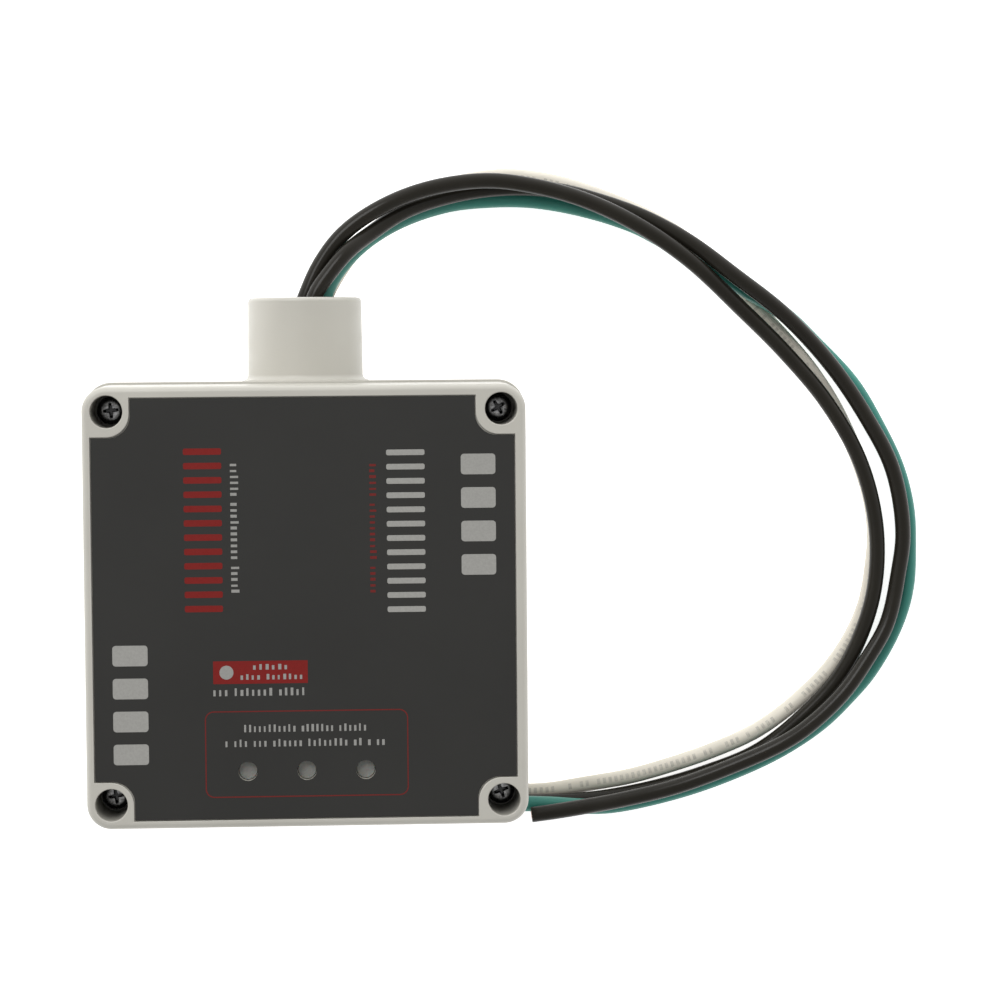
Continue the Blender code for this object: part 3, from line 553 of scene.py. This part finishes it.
def strand_mesh(name, tip, direction):
    """Nineteen copper strands that show in the cut end of a lead."""
    bm = bmesh.new()
    side = direction.cross(Vector((0, 0, 1))).normalized()
    up = side.cross(direction)
    turn = Matrix((side, up, direction)).transposed().to_4x4()
    spots = [(0.0, 0.0)]
    for count, radius in ((6, 0.00048), (12, 0.00094)):
        spots += [(radius * math.cos(2 * math.pi * k / count), radius * math.sin(2 * math.pi * k / count))
                  for k in range(count)]
    for x, y in spots:
        place = Matrix.Translation(tip) @ turn @ Matrix.Translation((x, y, 0))
        profile = [(0, -0.0004), (0.00024, -0.0004), (0.00024, 0.00001), (0.00019, 0.00004), (0, 0.00004)]
        lathe(bm, profile, 10, place)
    return mesh_from(bm, name)


def build_leads():
    for name, colour, low, high, gloss in (
            ("wire_black_1", (0.019, 0.017, 0.013), 0.16, 0.24, 0.2),
            ("wire_black_2", (0.019, 0.017, 0.013), 0.16, 0.24, 0.2),
            ("wire_green", (0.034, 0.215, 0.172), 0.36, 0.48, 0.4),
            ("wire_white", (0.72, 0.68, 0.59), 0.38, 0.5, 0.4)):
        knots = [(x * MM, y * MM + CENTRE_Y, z * MM) for x, y, z in LEAD_ROUTES[name]]
        route = smooth_route(knots, LEAD_STEP)
        marks = (0.22, 0.06) if name == "wire_white" else None
        material = lead_material(name + "_insulation", colour, low, high, gloss, marks)
        lead = add_piece("lead_" + name, tube_mesh(name, route, LEAD_RADIUS), material, "enclosure", 50)
        direction = (route[-1] - route[-2]).normalized()
        strands = add_piece("copper_" + name, strand_mesh(name, route[-1], direction), COPPER, "enclosure")
        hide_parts(name)


# ---------------------------------------------------------------- enclosure
def build_base():
    def body(bm):
        rings = []
        for inset, height in [(1.4, 0.0), (1.0, 0.06), (0.75, 0.25), (0.62, 0.6), (0.6, 1.0)]:
            rings.append(rounded_ring(0.061 - inset * MM, (7.7 - inset) * MM, height * MM))
        for inset, height in [(0.0, -0.3), (0.09, -0.09), (0.3, 0.0), (1.1, 0.0), (1.1, -1.6), (2.9, -1.6),
                              (2.9, 0.0), (3.8, 0.0), (4.0, -0.2)]:
            rings.append(rounded_ring(0.061 - inset * MM, (7.7 - inset) * MM, RIM_Z + height * MM))
        for inset, height in [(4.5, 4.5), (4.8, 3.5), (5.6, 3.0)]:
            rings.append(rounded_ring(0.061 - inset * MM, max(7.7 - inset, 1.6) * MM, height * MM))
        loft(bm, rings)

    def hub(bm):
        profile = [(0.0, -2.0), (17.8, -2.0), (17.8, -0.02)]
        profile += arc((17.8, 1.6), 1.6, -92, -180, 8)[1:]
        profile += arc((14.9, 22.1), 1.1, 0, 90, 6)
        profile += [(0.0, 23.2)]
        lathe(bm, [(r * MM, h * MM) for r, h in profile], 96, along_hub())

    def bore(bm):
        profile = [(0.0, -9.0), (10.6, -9.0), (10.6, 6.5)]
        pitch = 1.8
        for index in range(9):
            low = 6.6 + index * pitch
            profile += [(10.45, low), (10.45, low + 0.35), (10.95, low + 0.9), (10.95, low + 1.25)]
        profile += [(10.7, 22.6), (11.5, 23.4), (11.5, 25.0), (0.0, 25.0)]
        lathe(bm, [(r * MM, h * MM) for r, h in profile], 72, along_hub())

    post = [(0, 0.002), (0.0053, 0.002), (0.0053, 0.0362), (0.005, 0.0365), (0, 0.0365)]
    standoff = [(0, 0.002), (0.0043, 0.002), (0.0038, 0.0235), (0.0036, 0.0237), (0, 0.0237)]
    insert_hole = [(0, 0.0235), (0.003, 0.0235), (0.003, 0.040), (0, 0.040)]
    pilot_hole = [(0, 0.016), (0.0016, 0.016), (0.0016, 0.030), (0, 0.030)]
    places = list(zip(at_corners(WELL_PITCH, WELL_PITCH), at_corners(*STANDOFF_PITCH)))
    steps = [("UNION", hub)]
    for at_post, at_standoff in places:
        steps += [turned("UNION", post, 40, at_post), turned("UNION", standoff, 32, at_standoff)]
    steps.append(("DIFFERENCE", bore))
    for at_post, at_standoff in places:
        steps += [turned("DIFFERENCE", insert_hole, 28, at_post),
                  turned("DIFFERENCE", pilot_hole, 20, at_standoff)]
    data = carve(solid("base", body), steps)
    base = add_piece("base_moulding", data, enclosure_material("base_plastic", False), "enclosure")
    weigh_normals(base)
    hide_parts("enclosure_base")


def label_outline(grow=0.0):
    """Square with a bite out of each corner, about the label's own middle."""
    half = LABEL_HALF + grow
    inner = LABEL_HALF - LABEL_NOTCH + grow
    radius = LABEL_NOTCH_RADIUS + grow * 0.3
    points = []
    for quarter in range(4):
        turn = Matrix.Rotation(quarter * math.pi / 2, 2)
        corner = [(half, inner)]
        for index in range(17):
            angle = math.pi * 1.5 - math.pi / 2 * index / 16
            corner.append((inner + radius + radius * math.cos(angle),
                           inner + radius + radius * math.sin(angle)))
        corner.append((inner, half))
        points += [turn @ Vector(point) for point in corner]
    return points


def label_ring(grow, height):
    return [(x + LABEL_SHIFT[0], y + LABEL_SHIFT[1], height) for x, y in label_outline(grow)]


def build_cover():
    def body(bm):
        rings = []
        for inset, height in [(0.15, 0.0), (0.0, 0.15)]:
            grow = 0.3 - inset
            rings.append(rounded_ring(0.060 + grow * MM, (6.7 + grow) * MM, COVER_LOW + height * MM))
        rings.append(rounded_ring(0.060, 0.0067, DEPTH - 0.0016))
        for index in range(1, 8):
            angle = math.pi / 2 * index / 7
            inset = 0.0016 * (1 - math.cos(angle))
            rings.append(rounded_ring(0.060 - inset, 0.0067 - inset, DEPTH - 0.0016 * (1 - math.sin(angle))))
        loft(bm, rings)

    def cavity(bm):
        loft(bm, [rounded_ring(0.057, 0.0037, COVER_LOW - 0.003), rounded_ring(0.057, 0.0037, DEPTH - 0.0034),
                  rounded_ring(0.0569, 0.0036, DEPTH - 0.0031), rounded_ring(0.0566, 0.0033, DEPTH - 0.003)])

    def label_seat(bm):
        loft(bm, [label_ring(0.0003, DEPTH - LABEL_RECESS), label_ring(0.0003, DEPTH - 0.00012),
                  label_ring(0.00042, DEPTH), label_ring(0.00042, DEPTH + 0.001)])

    floor = SCREW_TOP - SHOULDER_DROP - 0.0003
    lip = 0.0003
    boss = [(0, COVER_LOW + 0.0002), (0.0064, COVER_LOW + 0.0002), (0.0064, DEPTH - 0.001), (0, DEPTH - 0.001)]
    well = [(0, floor), (WELL_RADIUS, floor)]
    well += arc((WELL_RADIUS + lip, DEPTH - lip), lip, 180, 90, 4)
    well += [(0.0047, DEPTH + 0.002), (0, DEPTH + 0.002)]
    screw_hole = [(0, COVER_LOW - 0.003), (0.0023, COVER_LOW - 0.003), (0.0023, floor + 0.002),
                  (0, floor + 0.002)]
    corners = at_corners(WELL_PITCH, WELL_PITCH)
    steps = [("DIFFERENCE", cavity)]
    steps += [turned("UNION", boss, 48, place) for place in corners]
    for place in corners:
        steps += [turned("DIFFERENCE", well, 64, place), turned("DIFFERENCE", screw_hole, 32, place)]
    steps.append(("DIFFERENCE", label_seat))
    steps += light_holes(0.050, 0.064)
    data = carve(solid("cover", body), steps)
    cover = add_piece("cover_moulding", data, enclosure_material("cover_plastic", True), "cover")
    weigh_normals(cover)
    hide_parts("front_cover")


def light_holes(low, high):
    """Boolean steps that open the three light windows between two heights."""
    profile = [(0, low), (LED_HOLE_RADIUS, low), (LED_HOLE_RADIUS, high), (0, high)]
    return [turned("DIFFERENCE", profile, 40, upright(x, LED_Y)) for x in LED_X]


def build_label():
    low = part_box("front_label")[0][2]

    def sheet(bm):
        loft(bm, [label_ring(0.0, low), label_ring(0.0, LABEL_TOP - 0.00006),
                  label_ring(-0.00006, LABEL_TOP)])

    data = carve(solid("label", sheet), light_holes(0.058, 0.062))
    label = add_piece("label_sheet", data, label_material(), "cover")
    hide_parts("front_label")


# ---------------------------------------------------------------- label print
def rounded_outline(x0, y0, x1, y1, radius, count):
    """Rectangle between two corners, with count points round each of its rounded corners."""
    points = []
    centres = ((x1 - radius, y1 - radius), (x0 + radius, y1 - radius),
               (x0 + radius, y0 + radius), (x1 - radius, y0 + radius))
    for quarter, (x, y) in enumerate(centres):
        for index in range(count):
            angle = math.pi / 2 * (quarter + index / (count - 1))
            points.append((x + radius * math.cos(angle), y + radius * math.sin(angle)))
    return points


class Print:
    """Flat printed shapes, a hair above the label, in millimetres from the enclosure's middle."""

    def __init__(self):
        self.bm = bmesh.new()

    def bar(self, x0, y0, x1, y1, radius=0.0, lift=0.0):
        """Rectangle between two corners, rounded off when it has a radius."""
        if radius:
            points = rounded_outline(x0, y0, x1, y1, radius, 6)
        else:
            points = [(x1, y1), (x0, y1), (x0, y0), (x1, y0)]
        self.slab(points, lift)

    def slab(self, points, lift):
        low = LABEL_TOP + INK_GAP + lift * MM
        rings = [[(x * MM, CENTRE_Y + y * MM, low + rise) for x, y in points] for rise in (0.0, INK_THICKNESS)]
        loft(self.bm, rings)

    def disc(self, x, y, radius, lift=0.0):
        angles = [2 * math.pi * index / 24 for index in range(24)]
        self.slab([(x + radius * math.cos(a), y + radius * math.sin(a)) for a in angles], lift)

    def ticks(self, start, words, pitch, height, upward=False, seed=1, lift=0.0):
        """Rows of plain ticks, grouped like words, from a start corner along X, or along Y."""
        chance = random.Random(seed)
        position = 0.0
        for word in words:
            for _ in range(word):
                width = pitch * chance.uniform(0.34, 0.52)
                tall = height * chance.choice((1.0, 0.78, 0.78))
                if upward:
                    x, y, across, up = start[0], start[1] + position, tall, width
                else:
                    x, y, across, up = start[0] + position, start[1], width, tall
                self.bar(x, y, x + across, y + up, 0, lift)
                position += pitch
            position += pitch * 0.7

    def frame(self, x0, y0, x1, y1, radius, width):
        """Rounded rectangle outline."""
        outer = rounded_outline(x0, y0, x1, y1, radius, 9)
        inner = rounded_outline(x0 + width, y0 + width, x1 - width, y1 - width, radius - width, 9)
        rings = []
        for loop, rise in ((outer, 0.0), (outer, INK_THICKNESS), (inner, INK_THICKNESS), (inner, 0.0)):
            rings.append([self.bm.verts.new((x * MM, CENTRE_Y + y * MM, LABEL_TOP + INK_GAP + rise))
                          for x, y in loop])
        for first, second in zip(rings, rings[1:] + rings[:1]):
            for index in range(len(first)):
                following = (index + 1) % len(first)
                self.bm.faces.new((first[index], first[following], second[following], second[index]))

    def finish(self, name, material):
        piece = add_piece(name, mesh_from(self.bm, name), material, "cover")


def build_print():
    red = Print()
    for index in range(12):
        low = -1.1 + index * 3.87
        red.bar(-32.8, low, -22.5, low + 1.75, 0.5)
    red.bar(-25.4, -20.7, 0.2, -14.5, 0.15)
    red.finish("print_red", print_material("print_red_ink", (0.19, 0.007, 0.005)))
    outline = Print()
    outline.frame(-27.8, -51.7, 27.3, -28.1, 2.4, 0.32)
    outline.ticks((17.4, 3.7), [5, 10, 6], 1.6, 1.8, upward=True, seed=5)
    outline.finish("print_dark_red", print_material("print_dark_red_ink", (0.15, 0.012, 0.010)))
    grey = Print()
    for index in range(12):
        low = -1.7 + index * 3.87
        grey.bar(22.0, low, 32.4, low + 1.55, 0.5)
    for index in range(4):
        low = 7.6 + index * 9.1
        grey.bar(42.2, low + 0.6, 51.6, low + 6.2, 0.9)
        low = -43.0 + index * 8.95
        grey.bar(-52.5, low + 0.6, -43.0, low + 6.2, 0.9)
    grey.finish("print_grey", print_material("print_grey_ink", (0.33, 0.325, 0.305)))
    white = Print()
    white.ticks((-20.2, 4.1), [5, 10, 6], 1.6, 2.2, upward=True, seed=2)
    white.ticks((-25.4, -24.0), [3, 7, 5], 1.56, 2.1, seed=3)
    white.ticks((-17.2, -33.9), [11, 7, 6], 1.33, 2.0, seed=7)
    white.ticks((-22.3, -37.9), [1, 3, 3, 6, 8, 2, 1, 2], 1.42, 2.0, seed=8)
    white.ticks((-14.6, -16.9), [6], 1.7, 1.5, seed=9, lift=0.03)
    white.ticks((-18.0, -19.6), [4, 7], 1.5, 1.5, seed=10, lift=0.03)
    white.disc(-21.8, -17.6, 1.9, lift=0.03)
    white.finish("print_white", print_material("print_white_ink", (0.30, 0.295, 0.28)))


# ---------------------------------------------------------------- screws and lights
def recess(bm, turn):
    """Tapered cross recess with rounded-in corners between its arms."""
    rings = []
    for height, reach, half, corner in ((0.0008, 2.5, 0.66, 0.8), (-0.0006, 1.95, 0.26, 0.4),
                                        (-0.0019, 1.35, 0.22, 0.34)):
        ring = []
        for quarter in range(4):
            spin = Matrix.Rotation(turn + quarter * math.pi / 2, 2)
            for x, y in ((reach, -half), (reach, half), (corner, corner)):
                spot = spin @ Vector((x * MM, y * MM))
                ring.append((spot.x, spot.y, height))
        rings.append(ring)
    loft(bm, rings)


def build_screws():
    profile = [(0, 0), (0.0024, -0.00002), (0.0030, -0.00015), (0.0035, -0.0006), (0.0038, -0.0013),
               (0.0038, -0.0022), (0.00365, -0.0024), (0.0019, -0.0024), (0.0019, -0.0120),
               (0.0008, -0.0139), (0, -0.0139)]
    steel = screw_material()
    turns = (0.1, 0.55, 0.15, 0.35)
    places = at_corners(WELL_PITCH, WELL_PITCH, SCREW_TOP)
    for number, (turn, place) in enumerate(zip(turns, places), 1):
        head = solid("screw", lambda bm: lathe(bm, profile, 56, Matrix.Identity(4)))
        data = carve(head, [("DIFFERENCE", lambda bm, a=turn: recess(bm, a))])
        data.transform(place)
        screw = add_piece(f"screw_{number}_body", data, steel, f"screw_{number}")
        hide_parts(f"cover_screw_{number}")


def build_lights():
    lens = lens_material()
    for number, x in enumerate(LED_X, 1):
        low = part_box(f"status_led_{number}")[0][2]
        bm = bmesh.new()
        lathe(bm, [(0, LED_TOP), (0.0020, LED_TOP - 0.00002), (0.0024, LED_TOP - 0.00006),
                   (0.0025, LED_TOP - 0.00018),
                   (0.0025, low + 0.001), (0.0029, low + 0.001), (0.0029, low), (0, low)], 40,
              upright(x, LED_Y))
        light = add_piece(f"light_{number}", mesh_from(bm, "light"), lens, "enclosure")
        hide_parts(f"status_led_{number}")


# ---------------------------------------------------------------- kept CAD nodes
def finish_nodes():
    steel = metal_material("zinc_steel", (0.5, 0.5, 0.5), 0.25, 0.4)
    brass = metal_material("brass", (0.62, 0.43, 0.18), 0.25, 0.4)
    finishes = {
        "cover_gasket": plain_material("gasket_rubber", (0.03, 0.03, 0.03), 0.6, 0.8),
        "circuit_board": board_material(),
        "board_screw": steel,
        "threaded_insert": brass,
        "lead_terminal": brass,
        "varistor": plain_material("varistor_epoxy", (0.03, 0.09, 0.33), 0.25, 0.4, Coat_Weight=0.3),
        "thermal_fuse": plain_material("fuse_ceramic", (0.6, 0.57, 0.5), 0.3, 0.5),
        "led_resistor": plain_material("resistor_lacquer", (0.42, 0.3, 0.18), 0.35, 0.5),
        "series_diode": plain_material("diode_epoxy", (0.03, 0.03, 0.032), 0.35, 0.5),
        "filter_capacitor": plain_material("capacitor_case", (0.6, 0.42, 0.06), 0.3, 0.45),
        "led_spacer": plain_material("spacer_nylon", (0.62, 0.62, 0.58), 0.4, 0.55),
        "hub_seal_plug": plain_material("seal_compound", (0.04, 0.04, 0.04), 0.45, 0.65, grain=500.0,
                                        depth=0.0001),
        "inner_lead_black": plain_material("inner_black", (0.02, 0.019, 0.016), 0.35, 0.5),
        "inner_lead_white": plain_material("inner_white", (0.6, 0.57, 0.5), 0.38, 0.5),
        "inner_lead_green": plain_material("inner_green", (0.022, 0.2, 0.15), 0.36, 0.5),
    }
    for name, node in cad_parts.items():
        for start, material in finishes.items():
            if name.startswith(start):
                node.data.materials.clear()
                node.data.materials.append(material)


# ---------------------------------------------------------------- stage
def add_area(name, place, aim, size, power):
    data = bpy.data.lights.new(name, "AREA")
    data.shape = "DISK"
    data.size = size
    data.energy = power
    lamp = bpy.data.objects.new(name, data)
    lamp.location = place
    lamp.rotation_euler = (Vector(aim) - Vector(place)).to_track_quat("-Z", "Y").to_euler()
    bpy.context.scene.collection.objects.link(lamp)


def build_world():
    """White studio: dim overhead, bright at the horizon beyond the hub and darker on the near side."""
    world = bpy.data.worlds.new("studio")
    world.use_nodes = True
    tree = world.node_tree
    split = tree.nodes.new("ShaderNodeSeparateXYZ")
    tree.links.new(tree.nodes.new("ShaderNodeTexCoord").outputs["Generated"], split.inputs["Vector"])

    def ramp(axis, ends, values):
        node = tree.nodes.new("ShaderNodeMapRange")
        tree.links.new(split.outputs[axis], node.inputs["Value"])
        for key, value in zip(("From Min", "From Max", "To Min", "To Max"), ends + values):
            node.inputs[key].default_value = value
        return node.outputs["Result"]

    product = tree.nodes.new("ShaderNodeMath")
    product.operation = "MULTIPLY"
    tree.links.new(ramp("Z", (0.0, 1.0), (1.5, 0.4)), product.inputs[0])
    tree.links.new(ramp("Y", (-1.0, 0.6), (0.45, 1.2)), product.inputs[1])
    tree.links.new(product.outputs["Value"], tree.nodes["Background"].inputs["Strength"])
    tree.nodes["Background"].inputs["Color"].default_value = (1, 1, 1, 1)
    bpy.context.scene.world = world


def build_stage():
    bm = bmesh.new()
    bmesh.ops.create_grid(bm, x_segments=1, y_segments=1, size=4)
    data = mesh_from(bm, "floor")
    nodes = Nodes("floor_paint", Roughness=0.9, Specular_IOR_Level=0.1, Emission_Color=(1, 1, 1, 1),
                  Emission_Strength=0.75)
    mottle = nodes.stretch(nodes.noise(3.0, 2.0), 0.0, 1.0)
    nodes.colour(nodes.blend(mottle, (0.93, 0.93, 0.93), (0.95, 0.95, 0.95)))
    data.materials.append(nodes.material)
    floor = bpy.data.objects.new("floor", data)
    floor.location = (0, 0, -0.0001)
    bpy.context.scene.collection.objects.link(floor)
    build_world()
    add_area("key", (-0.5, 0.9, 1.3), (0, 0, 0), 0.9, 9)
    bpy.context.scene.view_settings.view_transform = "Standard"


add_camera()
COPPER = copper_material()
build_leads()
build_base()
build_cover()
build_label()
build_print()
build_screws()
build_lights()
finish_nodes()
build_stage()
